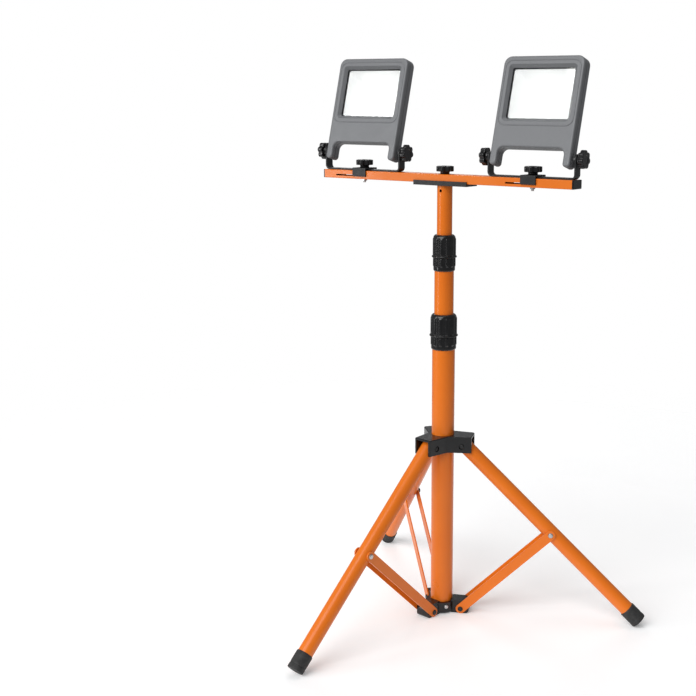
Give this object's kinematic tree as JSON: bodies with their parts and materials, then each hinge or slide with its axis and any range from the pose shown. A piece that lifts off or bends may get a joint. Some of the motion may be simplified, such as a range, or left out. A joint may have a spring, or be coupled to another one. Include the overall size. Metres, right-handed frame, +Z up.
{
  "type": "tripod work light",
  "caption": "Folding tripod work light with a telescopic twist-lock mast and tilting LED flood heads on a cross bar.",
  "frame": {"origin": "on the mast axis, in the floor plane under the bottom hub", "axes": "+Z up along the mast, the heads face -Y, the cross bar runs along X"},
  "size_m": [0.6049, 0.5681, 0.937],
  "materials": {
    "orange_paint": "gloss orange powder coat",
    "head_grey": "satin graphite powder coat",
    "black_plastic": "moulded black plastic",
    "black_steel": "satin black coated steel",
    "bright_steel": "zinc plated",
    "foot_rubber": "matt black",
    "seal_rubber": "matt black silicone",
    "clear_glass": "toughened clear glass",
    "reflector_white": "bright white reflector",
    "led_emitter": "white LED board, lit",
    "natural_plastic": "natural acetal"
  },
  "bodies": {
    "base": {"bottom_hub": "black_plastic", "hub_screw": "bright_steel", "brace_rivets": "black_steel", "lower_tube": "orange_paint", "lower_lock_sleeve": "black_plastic"},
    "upper_hub": {"upper_hub": "black_plastic", "leg_rivets": "black_steel"},
    "lower_lock_nut": {"lower_lock_nut": "black_plastic"},
    "lower_collet": {"lower_collet": "natural_plastic"},
    "middle_mast": {"middle_tube": "orange_paint", "middle_guide_bush": "natural_plastic", "upper_lock_sleeve": "black_plastic"},
    "upper_lock_nut": {"upper_lock_nut": "black_plastic"},
    "upper_collet": {"upper_collet": "natural_plastic"},
    "upper_mast": {"upper_tube": "orange_paint", "upper_guide_bush": "natural_plastic", "bar_saddle": "black_steel", "cross_bar": "orange_paint", "bar_end_plugs": "black_plastic"},
    "centre_knob": {"centre_knob": "black_plastic"},
    "brace_1": {"brace_strips_1": "orange_paint"},
    "leg_1": {"leg_tube_1": "orange_paint", "foot_cap_1": "foot_rubber", "brace_bolt_1": "bright_steel"},
    "brace_2": {"brace_strips_2": "orange_paint"},
    "leg_2": {"leg_tube_2": "orange_paint", "foot_cap_2": "foot_rubber", "brace_bolt_2": "bright_steel"},
    "brace_3": {"brace_strips_3": "orange_paint"},
    "leg_3": {"leg_tube_3": "orange_paint", "foot_cap_3": "foot_rubber", "brace_bolt_3": "bright_steel"},
    "left_clamp": {"left_clamp": "black_steel", "left_clamp_nut": "bright_steel"},
    "left_clamp_knob": {"left_clamp_knob": "black_plastic"},
    "left_yoke": {"left_yoke": "black_steel"},
    "left_head": {"left_front_frame": "head_grey", "left_glass": "clear_glass", "left_seal": "seal_rubber", "left_reflector": "reflector_white", "left_led_board": "led_emitter", "left_rear_housing": "head_grey", "left_cable_gland": "black_plastic", "left_frame_screws": "bright_steel"},
    "left_tilt_knob_a": {"left_tilt_knob_a": "black_plastic"},
    "left_tilt_knob_b": {"left_tilt_knob_b": "black_plastic"},
    "right_clamp": {"right_clamp": "black_steel", "right_clamp_nut": "bright_steel"},
    "right_clamp_knob": {"right_clamp_knob": "black_plastic"},
    "right_yoke": {"right_yoke": "black_steel"},
    "right_head": {"right_front_frame": "head_grey", "right_glass": "clear_glass", "right_seal": "seal_rubber", "right_reflector": "reflector_white", "right_led_board": "led_emitter", "right_rear_housing": "head_grey", "right_cable_gland": "black_plastic", "right_frame_screws": "bright_steel"},
    "right_tilt_knob_a": {"right_tilt_knob_a": "black_plastic"},
    "right_tilt_knob_b": {"right_tilt_knob_b": "black_plastic"}
  },
  "joints": [
    {"name": "tripod_spread", "type": "hinge", "parent": "base", "child": "brace_1", "pos_m": [-0.00501, -0.03565, 0.00842], "axis": [0.9903, -0.1392, 0], "range_deg": [-40, 33]},
    {"name": "leg_1_hinge", "type": "hinge", "parent": "brace_1", "child": "leg_1", "pos_m": [-0.02629, -0.18707, 0.15454], "axis": [0.9903, -0.1392, 0], "range_deg": [-66, 80]},
    {"name": "brace_2_hinge", "type": "hinge", "parent": "base", "child": "brace_2", "pos_m": [0.03338, 0.01349, 0.00842], "axis": [-0.3746, 0.9272, 0], "range_deg": [-40, 33]},
    {"name": "leg_2_hinge", "type": "hinge", "parent": "brace_2", "child": "leg_2", "pos_m": [0.17515, 0.07077, 0.15454], "axis": [-0.3746, 0.9272, 0], "range_deg": [-66, 80]},
    {"name": "brace_3_hinge", "type": "hinge", "parent": "base", "child": "brace_3", "pos_m": [-0.02837, 0.02216, 0.00842], "axis": [-0.6157, -0.788, 0], "range_deg": [-40, 33]},
    {"name": "leg_3_hinge", "type": "hinge", "parent": "brace_3", "child": "leg_3", "pos_m": [-0.14886, 0.1163, 0.15454], "axis": [-0.6157, -0.788, 0], "range_deg": [-66, 80]},
    {"name": "upper_hub_hinge", "type": "hinge", "parent": "leg_1", "child": "upper_hub", "pos_m": [-0.00501, -0.03565, 0.30067], "axis": [0.9903, -0.1392, 0], "range_deg": [-40, 33]},
    {"name": "lower_lock_twist", "type": "hinge", "parent": "base", "child": "lower_lock_nut", "pos_m": [0, 0, 0.5], "axis": [0, 0, 1], "range_deg": [0, 180]},
    {"name": "lower_mast_turn", "type": "hinge", "parent": "base", "child": "lower_collet", "pos_m": [0, 0, 0.5], "axis": [0, 0, 1], "continuous": true},
    {"name": "middle_tube_slide", "type": "slide", "parent": "lower_collet", "child": "middle_mast", "axis": [0, 0, 1], "range_m": [-0.068, 0.29]},
    {"name": "upper_lock_twist", "type": "hinge", "parent": "middle_mast", "child": "upper_lock_nut", "pos_m": [0, 0, 0.63], "axis": [0, 0, 1], "range_deg": [0, 180]},
    {"name": "upper_mast_turn", "type": "hinge", "parent": "middle_mast", "child": "upper_collet", "pos_m": [0, 0, 0.63], "axis": [0, 0, 1], "continuous": true},
    {"name": "upper_tube_slide", "type": "slide", "parent": "upper_collet", "child": "upper_mast", "axis": [0, 0, 1], "range_m": [-0.074, 0.225]},
    {"name": "centre_knob_turn", "type": "hinge", "parent": "upper_mast", "child": "centre_knob", "pos_m": [0, 0, 0.75247], "axis": [0, 0, 1], "range_deg": [0, 540]},
    {"name": "left_clamp_slide", "type": "slide", "parent": "upper_mast", "child": "left_clamp", "axis": [-1, 0, 0], "range_m": [0, 0.037]},
    {"name": "left_clamp_knob_turn", "type": "hinge", "parent": "left_clamp", "child": "left_clamp_knob", "pos_m": [-0.1625, 0, 0.77], "axis": [0, 0, 1], "range_deg": [0, 540]},
    {"name": "left_yoke_swivel", "type": "hinge", "parent": "left_clamp", "child": "left_yoke", "pos_m": [-0.1625, 0, 0.75247], "axis": [0, 0, 1], "range_deg": [-20, 20]},
    {"name": "left_head_tilt", "type": "hinge", "parent": "left_yoke", "child": "left_head", "pos_m": [-0.1625, 0, 0.78307], "axis": [1, 0, 0], "range_deg": [-55, 85]},
    {"name": "left_tilt_knob_a_turn", "type": "hinge", "parent": "left_head", "child": "left_tilt_knob_a", "pos_m": [-0.2425, 0, 0.78307], "axis": [-1, 0, 0], "range_deg": [0, 540]},
    {"name": "left_tilt_knob_b_turn", "type": "hinge", "parent": "left_head", "child": "left_tilt_knob_b", "pos_m": [-0.0825, 0, 0.78307], "axis": [1, 0, 0], "range_deg": [0, 540]},
    {"name": "right_clamp_slide", "type": "slide", "parent": "upper_mast", "child": "right_clamp", "axis": [-1, 0, 0], "range_m": [0, 0.028]},
    {"name": "right_clamp_knob_turn", "type": "hinge", "parent": "right_clamp", "child": "right_clamp_knob", "pos_m": [0.1625, 0, 0.77], "axis": [0, 0, 1], "range_deg": [0, 540]},
    {"name": "right_yoke_swivel", "type": "hinge", "parent": "right_clamp", "child": "right_yoke", "pos_m": [0.1625, 0, 0.75247], "axis": [0, 0, 1], "range_deg": [-20, 20]},
    {"name": "right_head_tilt", "type": "hinge", "parent": "right_yoke", "child": "right_head", "pos_m": [0.1625, 0, 0.78307], "axis": [1, 0, 0], "range_deg": [-55, 85]},
    {"name": "right_tilt_knob_a_turn", "type": "hinge", "parent": "right_head", "child": "right_tilt_knob_a", "pos_m": [0.0825, 0, 0.78307], "axis": [-1, 0, 0], "range_deg": [0, 540]},
    {"name": "right_tilt_knob_b_turn", "type": "hinge", "parent": "right_head", "child": "right_tilt_knob_b", "pos_m": [0.2425, 0, 0.78307], "axis": [1, 0, 0], "range_deg": [0, 540]}
  ],
  "couplings": [
    {"joint": "leg_1_hinge", "follows": "tripod_spread", "ratio": -2},
    {"joint": "brace_2_hinge", "follows": "tripod_spread", "ratio": 1},
    {"joint": "leg_2_hinge", "follows": "tripod_spread", "ratio": -2},
    {"joint": "brace_3_hinge", "follows": "tripod_spread", "ratio": 1},
    {"joint": "leg_3_hinge", "follows": "tripod_spread", "ratio": -2},
    {"joint": "upper_hub_hinge", "follows": "tripod_spread", "ratio": 1}
  ]
}
